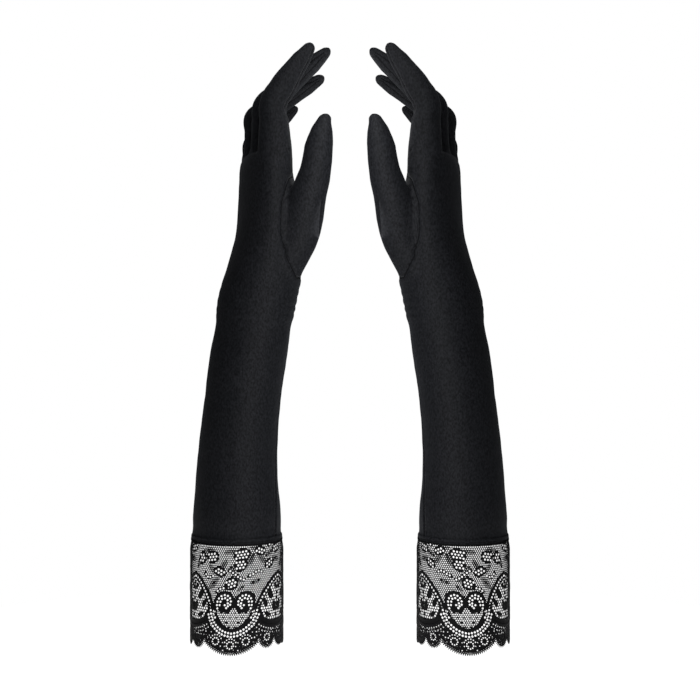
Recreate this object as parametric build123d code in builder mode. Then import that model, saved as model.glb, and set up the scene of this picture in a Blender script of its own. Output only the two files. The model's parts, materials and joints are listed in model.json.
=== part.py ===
"""Pair of long opera gloves in stretch knit, each finished with a scalloped lace cuff.

Units are millimetres and +Z points from the cuffs up to the fingertips.  Each glove is first
built in a hand frame: the cuff axis is x = y = 0, +X is the way the palm faces, -Y is the
thumb side and +Y is the little-finger side.  It is then turned about the vertical and set
beside its mirror image, so the two palms face each other across the plane x = 0.
"""

import os
from math import atan2, cos, radians, sin, sqrt

from build123d import *

os.makedirs("parts", exist_ok=True)

# ---------------------------------------------------------------- driving dimensions (mm, deg)
CUFF_SPACING = 162.3  # between the two cuff axes
HAND_TURN = 13.0  # each glove is turned this far about the vertical
MID_DEPTH = -1.2  # shift that puts the middle of the pair's depth on y = 0

FABRIC = 0.7  # knit wall of the shells
LACE = 0.8  # lace band
BEAD = 0.45  # how far a sewn seam stands off the cloth
SEAM_WIDTH = 1.1  # width of a sewn seam line
MOVING_GAP = 0.4  # cut between cloth that bends and cloth on the other body

CUFF_RADIUS = 33.4  # outside of the lace band
LACE_FOOT = 7.1  # lowest scallop, above the level that the heights below are measured from
CUFF_TOP = 85.8  # join of the lace with the sleeve
CUFF_SEAM_HEIGHT = 2.2  # overlocked join
LACE_REPEATS = 3
REPEAT_ANGLE = 360 / LACE_REPEATS
MOTIF_ANGLE = -106.5  # direction of the first large scallop, from the palm direction
LARGE_SCALLOP_RADIUS = 27.6
LARGE_SCALLOP_WIDTH = 70.0  # degrees round the cuff
SMALL_SCALLOP_RADIUS = 8.2
SMALL_SCALLOP_WIDTH = 25.0  # degrees round the cuff
SMALL_SCALLOP_RISE = 3.6  # lowest point of a small scallop above a large one
SCALLOP_BAND_TOP = 31.1  # the lace is plain above this height

# Arm and palm: height, centre towards the palm, half thickness, half breadth.
ARM_SECTIONS = [
    (CUFF_TOP, 0.0, 33.2, 33.2),
    (97.6, 0.0, 31.6, 31.8),
    (112.0, 0.0, 30.6, 31.0),
    (126.4, 0.0, 29.4, 29.6),
    (142.0, 0.4, 28.5, 28.8),
    (169.4, 2.5, 27.7, 28.0),
    (198.0, 5.8, 27.3, 27.6),
    (226.9, 10.1, 27.3, 27.2),
]
WRIST_BAND_START = 243.0
WRIST_BAND_END = 268.5
WRIST_SECTIONS = [
    (WRIST_BAND_START, 13.0, 27.7, 27.0),
    (255.7, 14.9, 28.6, 27.4),
    (WRIST_BAND_END, 17.8, 28.2, 28.4),
]
PALM_SECTIONS = [
    (270.2, 18.2, 28.0, 28.6),
    (284.6, 19.6, 24.8, 30.6),
    (299.0, 20.7, 22.0, 32.8),
    (313.5, 21.8, 20.8, 34.8),
    (327.9, 21.8, 20.0, 36.2),
    (340.0, 21.6, 19.2, 36.8),
    (350.0, 20.6, 17.6, 36.6),
    (356.5, 19.8, 15.0, 35.2),
    (359.0, 19.2, 11.0, 32.6),
]
WEB_HEIGHT = 356.5  # crotches between the fingers
FINGER_ROOT_HEIGHT = 344.0  # finger tubes start inside the palm

# Fingers: place across the hand, half breadth, root and knuckle points (towards palm, height),
# lean of the bent part from the vertical, its length, reach of the knuckle cloth each way,
# half thicknesses along the straight part and along the bent part.
FINGERS = {
    "index": dict(
        across=-28.0, half_breadth=8.6, root=23.2, knuckle=(21.7, 392.0), lean=32.2,
        length=52.0, reach=10.4, straight=(12.4, 11.9, 10.2), bent=(9.5, 8.3, 6.3, 5.9, 4.3)),
    "middle": dict(
        across=-9.3, half_breadth=8.4, root=17.8, knuckle=(19.9, 394.0), lean=47.1,
        length=63.0, reach=10.2, straight=(11.0, 10.2, 9.7), bent=(9.2, 7.9, 6.3, 6.0, 4.3)),
    "ring": dict(
        across=9.3, half_breadth=8.0, root=16.0, knuckle=(15.6, 388.0), lean=57.2,
        length=59.8, reach=9.4, straight=(10.4, 9.4, 8.8), bent=(8.5, 7.4, 6.1, 5.7, 4.3)),
    "little": dict(
        across=26.8, half_breadth=6.9, root=14.8, knuckle=(15.8, 371.7), lean=49.5,
        length=44.0, reach=7.8, straight=(7.2, 7.8, 7.2), bent=(6.8, 6.1, 5.3, 4.8, 3.6)),
}
ROOT_NARROWING = 0.72  # finger tubes start narrower, so that they rise out of the palm smoothly
BENT_STATIONS = (0.52, 0.74, 0.90)  # shares of the bent part's length

# Thumb: towards palm, across, height, half thickness.
THUMB = [
    (33.8, -16.0, 275.5, 10.0),
    (36.4, -19.0, 284.5, 11.6),
    (39.8, -21.5, 294.0, 12.9),
    (43.0, -25.0, 308.0, 14.0),
    (44.9, -30.0, 323.0, 13.3),
    (47.6, -35.0, 336.0, 12.0),
    (49.5, -38.2, 344.4, 11.0),
    (50.6, -40.4, 352.3, 10.5),
    (51.2, -42.2, 360.2, 10.1),
    (52.1, -43.7, 366.5, 9.2),
    (53.2, -45.0, 373.0, 7.6),
    (54.3, -46.2, 379.0, 5.0),
]
THUMB_KNUCKLE_START = 6  # stations between which the thumb bends
THUMB_KNUCKLE_END = 8
THUMB_POINT = (55.8, -47.0, 383.6)
THUMB_FLATNESS = 0.88  # depth of the thumb over its width

# Thumb piece: its leaf-shaped edge seen from the thumb side, (towards palm, height).
CLEFT = (36.4, 342.0)
CROTCH = (33.0, 340.5)
LEAF_MIDDLE = (26.3, 302.0)
LEAF_END = (39.5, 270.6)
THUMB_PIECE_EDGE = -4.0  # its other edge runs down the palm here
THUMB_SEAM_START = 23.0  # the raised seam lies on the thumb side of the palm
FOURCHETTE_HALF_WIDTH = 3.4

# Side seam: two points on the inner arm and the way it faces between them.
SIDE_SEAM_LOW = (25.4, -21.3, CUFF_TOP)
SIDE_SEAM_HIGH = (33.6, -6.1, 209.0)
LACE_SEAM_ANGLE = 77.0  # lace band closed at the back of the arm
FAR = 400.0


# ---------------------------------------------------------------- forms
def oval(x, y, z, half_thickness, half_breadth, lean_x=0.0, lean_y=0.0):
    """Draw one oval section across the direction (lean_x, lean_y, 1)."""
    across = Plane(origin=(x, y, z), x_dir=(0, 1, -lean_y), z_dir=(lean_x, lean_y, 1))
    with BuildSketch(across) as section:
        Ellipse(half_breadth, half_thickness)
    return section.sketch.face()


def body_form(sections, grow=0.0):
    """Solid through level oval sections, grown or shrunk by a constant."""
    ovals = [
        oval(centre, 0, height, half_thickness + grow, half_breadth + grow)
        for height, centre, half_thickness, half_breadth in sections]
    with BuildPart() as form:
        loft(sections=ovals)
    return form.part


def rounded_end(last, point):
    """Shrinking ovals between the last station of a finger or thumb and its end."""
    x, y, z, thickness, breadth, *lean = last
    ovals = []
    for share, size in ((0.5, 0.84), (0.84, 0.52), (1.0, 0.22)):
        centre = [start + share * (end - start) for start, end in zip((x, y, z), point)]
        ovals.append(oval(*centre, thickness * size, breadth * size, *lean))
    return ovals


def finger_stations(finger):
    """Stations of one finger: (x, y, z, half thickness, half breadth, lean)."""
    knuckle_x, knuckle_z = finger["knuckle"]
    y = finger["across"]
    breadth = finger["half_breadth"]
    reach = finger["reach"]
    root_x = finger["root"]
    slope = (knuckle_x - root_x) / (knuckle_z - FINGER_ROOT_HEIGHT)
    straight_end = knuckle_z - reach
    straight = []
    for share, thickness in zip((0.0, 0.5, 1.0), finger["straight"]):
        z = FINGER_ROOT_HEIGHT + share * (straight_end - FINGER_ROOT_HEIGHT)
        x = root_x + slope * (z - FINGER_ROOT_HEIGHT)
        width = breadth if share else breadth * ROOT_NARROWING
        straight.append((x, y, z, thickness, width, slope))
    lean = radians(finger["lean"])
    half_lean = sin(lean / 2) / cos(lean / 2)
    knuckle_thickness, *bent_thickness = finger["bent"]
    middle = (knuckle_x, y, knuckle_z, knuckle_thickness, breadth, half_lean)
    shares = (reach / finger["length"], *BENT_STATIONS)
    bent = []
    for share, thickness in zip(shares, bent_thickness):
        along = share * finger["length"]
        x = knuckle_x + along * sin(lean)
        z = knuckle_z + along * cos(lean)
        width = min(breadth * 0.95, thickness * 1.12)
        bent.append((x, y, z, thickness, width, sin(lean) / cos(lean)))
    return straight, [straight[-1], middle, bent[0]], bent


def finger_point(finger):
    """The very end of a finger."""
    knuckle_x, knuckle_z = finger["knuckle"]
    lean = radians(finger["lean"])
    length = finger["length"]
    return (knuckle_x + length * sin(lean), finger["across"], knuckle_z + length * cos(lean))


def stations_form(stations, grow=0.0, point=None):
    """Solid through leaning oval stations, closed to a rounded point where one is given."""
    sized = [
        (x, y, z, thickness + grow, breadth + grow, *lean)
        for x, y, z, thickness, breadth, *lean in stations]
    ovals = [oval(*station) for station in sized]
    if point:
        ovals += rounded_end(sized[-1], point)
    with BuildPart() as form:
        loft(sections=ovals, ruled=point is not None)
    return form.part


def thumb_stations():
    """Stations of the thumb, each square to the run between its neighbours."""
    stations = []
    for number, (x, y, z, thickness) in enumerate(THUMB):
        before = THUMB[max(number - 1, 0)]
        after = THUMB[min(number + 1, len(THUMB) - 1)]
        rise = after[2] - before[2]
        lean_x = (after[0] - before[0]) / rise
        lean_y = (after[1] - before[1]) / rise
        stations.append((x, y, z, thickness, thickness * THUMB_FLATNESS, lean_x, lean_y))
    return stations


def hand_form(grow=0.0):
    """Palm, straight finger parts and thumb base in one solid."""
    *palm, (top, *top_size) = PALM_SECTIONS
    with BuildPart() as form:
        add(body_form([WRIST_SECTIONS[-1], *palm, (top + grow, *top_size)], grow))
        for finger in FINGERS.values():
            add(stations_form(finger_stations(finger)[0], grow))
        add(stations_form(thumb_stations()[:THUMB_KNUCKLE_START + 1], grow))
    return form.part


def shell(outer, inner):
    """Cloth between an outer and an inner form."""
    with BuildPart() as cloth:
        add(outer)
        add(inner, mode=Mode.SUBTRACT)
    return cloth.part


# ---------------------------------------------------------------- lace cuff
with BuildPart() as lace_cuff:
    with BuildSketch(Plane.XY.offset(LACE_FOOT)):
        Circle(CUFF_RADIUS)
        Circle(CUFF_RADIUS - LACE, mode=Mode.SUBTRACT)
    extrude(amount=CUFF_TOP - LACE_FOOT)
    with BuildPart(mode=Mode.INTERSECT):
        with Locations((0, 0, SCALLOP_BAND_TOP)):
            Cylinder(
                CUFF_RADIUS + 5, CUFF_TOP - SCALLOP_BAND_TOP,
                align=(Align.CENTER, Align.CENTER, Align.MIN))
        for repeat in range(LACE_REPEATS):
            large_angle = MOTIF_ANGLE + repeat * REPEAT_ANGLE
            small_start = large_angle + LARGE_SCALLOP_WIDTH / 2 + SMALL_SCALLOP_WIDTH / 2
            small_height = LACE_FOOT + SMALL_SCALLOP_RISE + SMALL_SCALLOP_RADIUS
            scallops = [
                (large_angle, LARGE_SCALLOP_RADIUS, LACE_FOOT + LARGE_SCALLOP_RADIUS),
                (small_start, SMALL_SCALLOP_RADIUS, small_height),
                (small_start + SMALL_SCALLOP_WIDTH, SMALL_SCALLOP_RADIUS, small_height),
            ]
            for angle, radius, height in scallops:
                outward = (cos(radians(angle)), sin(radians(angle)), 0)
                with BuildSketch(Plane(origin=(0, 0, height), x_dir=(0, 0, 1), z_dir=outward)):
                    Circle(radius)
                extrude(amount=CUFF_RADIUS + 5)
            for angle, _, height in scallops:
                outward = (cos(radians(angle)), sin(radians(angle)), 0)
                fill = SCALLOP_BAND_TOP - height + 1
                if fill > 0:
                    across = Plane(origin=(0, 0, height), x_dir=(0, 0, 1), z_dir=outward)
                    with BuildSketch(across):
                        with Locations((fill / 2, 0)):
                            Rectangle(fill, SMALL_SCALLOP_RADIUS * 1.96)
                    extrude(amount=CUFF_RADIUS + 5)

with BuildPart() as cuff_seam:
    with BuildSketch(Plane.XY.offset(CUFF_TOP - CUFF_SEAM_HEIGHT)):
        Circle(CUFF_RADIUS + BEAD)
        Circle(CUFF_RADIUS, mode=Mode.SUBTRACT)
    extrude(amount=CUFF_SEAM_HEIGHT)

with BuildPart() as lace_seam:
    lace_seam_base = SCALLOP_BAND_TOP
    with BuildSketch(Plane.XY.offset(lace_seam_base)):
        Circle(CUFF_RADIUS + BEAD)
        Circle(CUFF_RADIUS, mode=Mode.SUBTRACT)
    extrude(amount=CUFF_TOP - CUFF_SEAM_HEIGHT - lace_seam_base)
    facing = (cos(radians(LACE_SEAM_ANGLE)), sin(radians(LACE_SEAM_ANGLE)), 0)
    with BuildSketch(Plane(origin=(0, 0, 0), x_dir=(0, 0, 1), z_dir=facing)):
        Rectangle(FAR, SEAM_WIDTH)
    extrude(amount=FAR, mode=Mode.INTERSECT)

# ---------------------------------------------------------------- sleeve and wrist
sleeve_sections = [*ARM_SECTIONS, WRIST_SECTIONS[0]]
sleeve_outer = body_form(sleeve_sections)
with BuildPart() as sleeve:
    add(shell(sleeve_outer, body_form(sleeve_sections, -FABRIC)))

with BuildPart() as side_seam:
    add(body_form(sleeve_sections, BEAD))
    add(sleeve_outer, mode=Mode.SUBTRACT)
    seam_run = [high - low for low, high in zip(SIDE_SEAM_LOW, SIDE_SEAM_HIGH)]
    seam_face = atan2(
        SIDE_SEAM_LOW[1] + SIDE_SEAM_HIGH[1],
        SIDE_SEAM_LOW[0] + SIDE_SEAM_HIGH[0] - 2 * 3.5)
    outward = Vector(cos(seam_face), sin(seam_face), 0)
    sideways = Vector(*seam_run).cross(outward)
    with BuildSketch(Plane(origin=SIDE_SEAM_LOW, x_dir=outward, z_dir=sideways)):
        Rectangle(30, 2 * FAR)
    extrude(amount=SEAM_WIDTH / 2, both=True, mode=Mode.INTERSECT)

with BuildPart() as wrist_band:
    add(shell(body_form(WRIST_SECTIONS), body_form(WRIST_SECTIONS, -FABRIC)))
    with Locations((0, 0, WRIST_BAND_START)):
        Box(FAR, FAR, 2 * MOVING_GAP, mode=Mode.SUBTRACT)

# ---------------------------------------------------------------- hand
hand_outer = hand_form()
hand_cloth = shell(hand_outer, hand_form(-FABRIC))

with BuildPart() as leaf:
    with BuildSketch(Plane.XZ.offset(-THUMB_PIECE_EDGE)):
        with BuildLine():
            Polyline((CLEFT[0], FAR), CLEFT, CROTCH)
            ThreePointArc(CROTCH, LEAF_MIDDLE, LEAF_END)
            Polyline(LEAF_END, (FAR, LEAF_END[1]), (FAR, FAR), (CLEFT[0], FAR))
        make_face()
    extrude(amount=FAR)

with BuildPart() as fourchette_zones:
    names = list(FINGERS)
    for first, second in zip(names, names[1:]):
        near = FINGERS[first]
        far = FINGERS[second]
        middle = (near["across"] + far["across"]) / 2
        for finger, start, end in ((near, near["across"], middle), (far, middle, far["across"])):
            centre = (finger["root"] + finger["knuckle"][0]) / 2
            with Locations((centre, (start + end) / 2, WEB_HEIGHT)):
                Box(
                    2 * FOURCHETTE_HALF_WIDTH, end - start, 60,
                    align=(Align.CENTER, Align.CENTER, Align.MIN))

with BuildPart() as thumb_piece:
    add(hand_cloth)
    add(leaf.part, mode=Mode.INTERSECT)

with BuildPart() as fourchettes:
    add(hand_cloth)
    add(fourchette_zones.part, mode=Mode.INTERSECT)

with BuildPart() as hand:
    add(hand_cloth)
    add(leaf.part, mode=Mode.SUBTRACT)
    add(fourchette_zones.part, mode=Mode.SUBTRACT)

with BuildPart() as thumb_seam:
    add(body_form(PALM_SECTIONS, BEAD))
    add(stations_form(thumb_stations()[:THUMB_KNUCKLE_START + 1], BEAD))
    add(hand_outer, mode=Mode.SUBTRACT)
    with BuildSketch(Plane.XZ.offset(THUMB_SEAM_START)):
        with BuildLine():
            ThreePointArc(CROTCH, LEAF_MIDDLE, LEAF_END)
        trace(line_width=SEAM_WIDTH)
    extrude(amount=FAR, mode=Mode.INTERSECT)


# ---------------------------------------------------------------- fingers and thumb
def stretch(stations):
    """One open stretch of a finger as a shell."""
    return shell(stations_form(stations), stations_form(stations, -FABRIC))


def closed_end(stations, point):
    """The last stretch of a finger as a shell, closed to the fingertip."""
    last = stations[-1][:3]
    length = sqrt(sum((end - start) ** 2 for start, end in zip(last, point)))
    share = 1 - FABRIC / length
    inner_point = [start + share * (end - start) for start, end in zip(last, point)]
    return shell(
        stations_form(stations, 0, point), stations_form(stations, -FABRIC, inner_point))


def trim_start(cloth, station):
    """Take the moving gap off the end of a stretch that lies at a station."""
    x, y, z, _, _, lean_x, lean_y = (*station, 0)[:7]
    with BuildPart() as trimmed:
        add(cloth)
        with BuildSketch(Plane(origin=(x, y, z), x_dir=(0, 1, -lean_y), z_dir=(lean_x, lean_y, 1))):
            Circle(25)
        extrude(amount=MOVING_GAP, both=True, mode=Mode.SUBTRACT)
    return trimmed.part


finger_parts = {}
for finger_name, finger in FINGERS.items():
    _, knuckle_stations, bent_stations = finger_stations(finger)
    finger_parts[f"{finger_name}_knuckle"] = trim_start(
        stretch(knuckle_stations), knuckle_stations[0])
    finger_parts[f"{finger_name}_tip"] = closed_end(bent_stations, finger_point(finger))

thumb_bend = thumb_stations()[THUMB_KNUCKLE_START:THUMB_KNUCKLE_END + 1]
finger_parts["thumb_knuckle"] = trim_start(stretch(thumb_bend), thumb_bend[0])
finger_parts["thumb_tip"] = closed_end(thumb_stations()[THUMB_KNUCKLE_END:], THUMB_POINT)

# ---------------------------------------------------------------- both gloves
glove_parts = {
    "lace_cuff": lace_cuff.part,
    "lace_seam": lace_seam.part,
    "cuff_seam": cuff_seam.part,
    "sleeve": sleeve.part,
    "side_seam": side_seam.part,
    "wrist_band": wrist_band.part,
    "hand": hand.part,
    "thumb_piece": thumb_piece.part,
    "thumb_seam": thumb_seam.part,
    "fourchettes": fourchettes.part,
    **finger_parts,
}
LEFT_PLACE = Location((-CUFF_SPACING / 2, MID_DEPTH, -LACE_FOOT), (0, 0, HAND_TURN))

for part_name, local_part in glove_parts.items():
    with BuildPart() as left_part:
        add(local_part.moved(LEFT_PLACE))
    left_part.part.label = f"left_{part_name}"
    export_step(left_part.part, f"parts/left_{part_name}.step")
    with BuildPart() as right_part:
        add(mirror(left_part.part, about=Plane.YZ))
    right_part.part.label = f"right_{part_name}"
    export_step(right_part.part, f"parts/right_{part_name}.step")
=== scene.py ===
"""Looks of the pair of opera gloves: knit skin, sewn seams and lace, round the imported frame."""
import json
import math

import bmesh
import bpy
import numpy as np
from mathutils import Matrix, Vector
from mathutils.bvhtree import BVHTree
from mathutils.kdtree import KDTree


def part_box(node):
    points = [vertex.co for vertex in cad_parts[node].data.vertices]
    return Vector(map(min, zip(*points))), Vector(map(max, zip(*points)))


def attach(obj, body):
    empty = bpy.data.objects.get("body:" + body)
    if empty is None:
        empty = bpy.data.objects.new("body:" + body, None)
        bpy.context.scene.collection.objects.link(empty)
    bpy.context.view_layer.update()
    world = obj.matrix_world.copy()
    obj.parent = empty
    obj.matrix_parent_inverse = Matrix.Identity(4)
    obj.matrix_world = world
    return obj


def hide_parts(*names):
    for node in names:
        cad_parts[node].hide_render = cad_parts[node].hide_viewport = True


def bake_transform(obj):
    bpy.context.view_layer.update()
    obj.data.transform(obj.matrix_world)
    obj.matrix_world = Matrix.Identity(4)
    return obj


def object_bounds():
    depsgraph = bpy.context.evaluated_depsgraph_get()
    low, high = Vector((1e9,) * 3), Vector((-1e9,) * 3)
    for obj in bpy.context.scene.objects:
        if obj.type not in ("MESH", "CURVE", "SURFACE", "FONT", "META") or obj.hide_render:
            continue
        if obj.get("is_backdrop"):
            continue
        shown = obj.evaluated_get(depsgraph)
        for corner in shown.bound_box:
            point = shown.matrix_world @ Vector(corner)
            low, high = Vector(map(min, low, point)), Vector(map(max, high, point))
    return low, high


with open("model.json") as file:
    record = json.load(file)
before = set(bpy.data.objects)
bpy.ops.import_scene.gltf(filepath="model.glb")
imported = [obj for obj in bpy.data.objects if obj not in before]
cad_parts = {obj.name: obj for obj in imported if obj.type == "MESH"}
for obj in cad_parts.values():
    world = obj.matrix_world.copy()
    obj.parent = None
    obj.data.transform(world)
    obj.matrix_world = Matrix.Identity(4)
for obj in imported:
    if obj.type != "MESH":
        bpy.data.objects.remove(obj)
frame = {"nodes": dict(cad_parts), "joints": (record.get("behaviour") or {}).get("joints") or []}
joints = {joint["name"]: joint for joint in frame["joints"]}
MM = 0.001
FINGERS = ("index", "middle", "ring", "little")
SIDES = {"left": 1.0, "right": -1.0}


def corners():
    low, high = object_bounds()
    return [list(low), list(high)]


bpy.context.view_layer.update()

# ---------------------------------------------------------------- settings
VOXEL = 0.9 * MM
CLOTH = 0.6 * MM  # knit thickness
CORE_LIFT = 0.35 * MM  # cores reach this far into the cloth wall
WRIST_ZONE = (-30 * MM, 14 * MM)  # cloth round the wrist hinge, below and above it
FINGER_ZONE = 13 * MM  # cloth round a finger hinge, each way from it
THUMB_ZONE = 13 * MM
LACE_STEP = 0.25  # mm, pitch of the lace grid
LACE_LIFT = 0.22  # mm, half thickness of a lace thread
CUFF_DRAW = 0.9 * MM  # the sewn join pulls sleeve and lace in by this much
ARM_REACH, FINGER_REACH, THUMB_REACH = 60 * MM, 16 * MM, 18 * MM  # longest way out to the cloth
SMOOTHING = (0.55, -0.575)  # the two steps of a smoothing round
SOFTEN, SOFTEN_WEBS = 14, 26  # smoothing rounds
SPAN_HOLLOWS, SPAN_ROOTS, SPAN_WRIST = 160, 420, 600  # rounds of stretching over hollows
WEB_SIZE, THUMB_SIZE = 7 * MM, 30 * MM  # how far those reach from the webs and the thumb's base
NEAR = 8 * MM  # how far off the frame's surface may be from the skin
WRIST_FOLDS = ((-9, 0.45), (-3.5, 0.55), (3, 0.4), (9, 0.3))  # height and depth, mm
FINGER_FOLDS = ((-4.0, 0.35), (0.0, 0.5), (3.6, 0.3))  # the same inside each bent finger
SWELL, INDEX_BACK, OTHER_BACK = 0.5, 2.2, 0.6  # mm, all round a finger and more on its back
GROOVE_DEPTH, GROOVE_WIDTH = 0.8 * MM, 0.85 * MM  # along a seam
PUFF, PUFF_AT, PUFF_WIDTH = 0.2 * MM, 2.3 * MM, 1.1 * MM  # rise of the cloth beside a seam
STITCH_HALF, STITCH_RADIUS, STITCH_SLANT = 0.55 * MM, 0.14 * MM, math.radians(62)


# ---------------------------------------------------------------- the frame's own geometry
def points_of(node):
    mesh = frame["nodes"][node].data
    flat = np.zeros(len(mesh.vertices) * 3, np.float32)
    mesh.vertices.foreach_get("co", flat)
    return flat.reshape(-1, 3).astype(float)


def joined(nodes):
    solid = bmesh.new()
    for node in nodes:
        solid.from_mesh(frame["nodes"][node].data)
    return solid


def hinge(name):
    return Vector(joints[name]["pos_m"])


def farthest(node, start):
    points = points_of(node)
    return Vector(points[np.argmax(((points - np.array(start)) ** 2).sum(1))])


CUFF_LOW, CUFF_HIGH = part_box("left_lace_cuff")
CUFF_AXIS = (CUFF_LOW + CUFF_HIGH) / 2
CUFF_RADIUS = (CUFF_HIGH.x - CUFF_LOW.x) / 2
CUFF_TOP = CUFF_HIGH.z
ACROSS = Vector(joints["left_wrist_bend"]["axis"]).normalized()  # thumb side to little finger
PALM_WAY = ACROSS.cross(Vector((0, 0, 1))).normalized()  # the way the palm faces
WRIST = hinge("left_wrist_bend")
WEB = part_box("left_fourchettes")[0].z  # crotches between the fingers
KNUCKLES = {name: hinge(f"left_{name}_bend") for name in FINGERS}
TIPS = {name: farthest(f"left_{name}_tip", KNUCKLES[name]) for name in FINGERS}
THUMB = hinge("left_thumb_bend")
THUMB_TIP = farthest("left_thumb_tip", THUMB)
THUMB_ROOT = Vector(points_of("left_thumb_piece").mean(0))
THUMB_NODES = ["left_thumb_piece", "left_thumb_knuckle", "left_thumb_tip"]
FINGER_NODES = [f"left_{name}_{part}" for name in FINGERS for part in ("knuckle", "tip")]
BODY_NODES = ["left_sleeve", "left_wrist_band", "left_hand", "left_fourchettes"]
ACROSS_XYZ, PALM_XYZ = np.array(ACROSS), np.array(PALM_WAY)


def finger_way(name):
    """Where the finger points past its bend."""
    return (TIPS[name] - KNUCKLES[name]).normalized()


def finger_of(points):
    """Number of the finger that each point is nearest to across the hand."""
    places = np.array([float(KNUCKLES[name].dot(ACROSS)) for name in FINGERS])
    return np.abs((points @ ACROSS_XYZ)[:, None] - places).argmin(1)


# ---------------------------------------------------------------- one skin over the whole glove
def along(points, step):
    """Points every step or so along a polyline."""
    run = []
    for start, end in zip(points, points[1:]):
        count = max(2, int((end - start).length / step))
        run += [start.lerp(end, k / count) for k in range(count)]
    return [*run, points[-1]]


def core(tree, path, limit, count=40, recentre=False):
    """Closed tube inside the cloth, out to its inner wall all round a path."""
    rings = []
    shift = Vector((0, 0, 0))
    for number, point in enumerate(path):
        way = (path[min(number + 1, len(path) - 1)] - path[max(number - 1, 0)]).normalized()
        side = way.cross(Vector((0, 1, 0.01))).normalized()
        other = way.cross(side)
        for _ in range(2 if recentre else 1):
            centre = point + shift
            ring = []
            for k in range(count):
                angle = 2 * math.pi * k / count
                out = side * math.cos(angle) + other * math.sin(angle)
                hit = tree.ray_cast(centre, out, limit)
                reach = hit[3] + CORE_LIFT if hit[0] is not None else 0.6 * limit
                ring.append(centre + out * reach)
            if recentre:
                shift += sum(ring, Vector()) / count - centre
        rings.append(ring)
    tube = bmesh.new()
    loops = [[tube.verts.new(point) for point in ring] for ring in rings]
    for low, high in zip(loops, loops[1:]):
        for k in range(count):
            tube.faces.new((low[k], low[(k + 1) % count], high[(k + 1) % count], high[k]))
    tube.faces.new(loops[0][::-1])
    tube.faces.new(loops[-1])
    bmesh.ops.recalc_face_normals(tube, faces=tube.faces)
    return tube


def mesh_arrays(mesh):
    points = np.zeros(len(mesh.vertices) * 3, np.float32)
    mesh.vertices.foreach_get("co", points)
    quads = np.zeros(len(mesh.loops), np.int32)
    mesh.loops.foreach_get("vertex_index", quads)
    return points.reshape(-1, 3).astype(float), quads.reshape(-1, 4)


def build_skin():
    """Vertices and quads of the outside of the left glove."""
    solid = joined(BODY_NODES + FINGER_NODES + THUMB_NODES)
    tree = BVHTree.FromBMesh(solid)
    base = points_of("left_sleeve")
    low = base[base[:, 2] < base[:, 2].min() + 0.01 * MM]
    start = Vector(((low[:, 0].min() + low[:, 0].max()) / 2,
                    (low[:, 1].min() + low[:, 1].max()) / 2, low[0, 2] + 0.2 * MM))
    levels = np.arange(start.z, WEB - 3 * MM, 4 * MM)
    cores = [core(tree, [Vector((start.x, start.y, z)) for z in levels], ARM_REACH, 96, True)]
    for name in FINGERS:
        knuckle = KNUCKLES[name]
        way = finger_way(name)
        root = Vector((knuckle.x, knuckle.y, WEB - 10 * MM))
        run = [root, knuckle - Vector((0, 0, 6 * MM)), knuckle + way * MM,
               knuckle + way * 6 * MM, TIPS[name] - way * 2.5 * MM]
        cores.append(core(tree, along(run, 2 * MM), FINGER_REACH))
    run = [THUMB_ROOT, THUMB, THUMB.lerp(THUMB_TIP, 0.92)]
    cores.append(core(tree, along(run, 2 * MM), THUMB_REACH))
    for tube in cores:
        filled = bpy.data.meshes.new("core")
        tube.to_mesh(filled)
        solid.from_mesh(filled)
    rough = bpy.data.meshes.new("rough_skin")
    solid.to_mesh(rough)
    holder = bpy.data.objects.new("rough_skin", rough)
    bpy.context.scene.collection.objects.link(holder)
    remesh = holder.modifiers.new("voxels", "REMESH")
    remesh.mode = "VOXEL"
    remesh.voxel_size = VOXEL
    evaluated = holder.evaluated_get(bpy.context.evaluated_depsgraph_get())
    points, quads = mesh_arrays(bpy.data.meshes.new_from_object(evaluated))
    bpy.data.objects.remove(holder)
    return points, quads


def sides_of(quads):
    """The four directed sides of every quad."""
    return np.concatenate([quads[:, [0, 1]], quads[:, [1, 2]], quads[:, [2, 3]], quads[:, [3, 0]]])


def edges_of(quads):
    return np.unique(np.sort(sides_of(quads), axis=1), axis=0)


def averages(values, edges, count):
    """Mean of each vertex's neighbours."""
    number = np.bincount(edges.ravel(), minlength=count)[:, None]
    total = np.zeros_like(values)
    for axis in range(values.shape[1]):
        total[:, axis] = (
            np.bincount(edges[:, 0], values[edges[:, 1], axis], count)
            + np.bincount(edges[:, 1], values[edges[:, 0], axis], count))
    return total / np.maximum(number, 1)


def smoothed(points, edges, rounds, share=None):
    """Smoothing that keeps the volume; share says how much each vertex takes part."""
    part = 1.0 if share is None else share[:, None]
    for _ in range(rounds):
        for factor in SMOOTHING:
            points = points + part * factor * (averages(points, edges, len(points)) - points)
    return points


def bridged(points, quads, edges, rounds, share):
    """Stretch the cloth across hollows: vertices only ever move outward."""
    share = np.where(share > 0.01, share, 0)
    edges = edges[(share > 0)[edges].any(1)]
    for number in range(rounds):
        if number % 20 == 0:
            normals = vertex_normals(points, quads)
        lift = ((averages(points, edges, len(points)) - points) * normals).sum(1)
        points = points + normals * (0.7 * share * np.maximum(lift, 0))[:, None]
    return points


def vertex_normals(points, quads):
    first = points[quads[:, 2]] - points[quads[:, 0]]
    second = points[quads[:, 3]] - points[quads[:, 1]]
    face = np.cross(first, second)
    normals = np.zeros_like(points)
    for column in range(4):
        for axis in range(3):
            normals[:, axis] += np.bincount(quads[:, column], face[:, axis], len(points))
    return normals / np.maximum(np.linalg.norm(normals, axis=1), 1e-12)[:, None]


def step_up(values, low, high):
    share = np.clip((values - low) / (high - low), 0, 1)
    return share * share * (3 - 2 * share)


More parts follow.
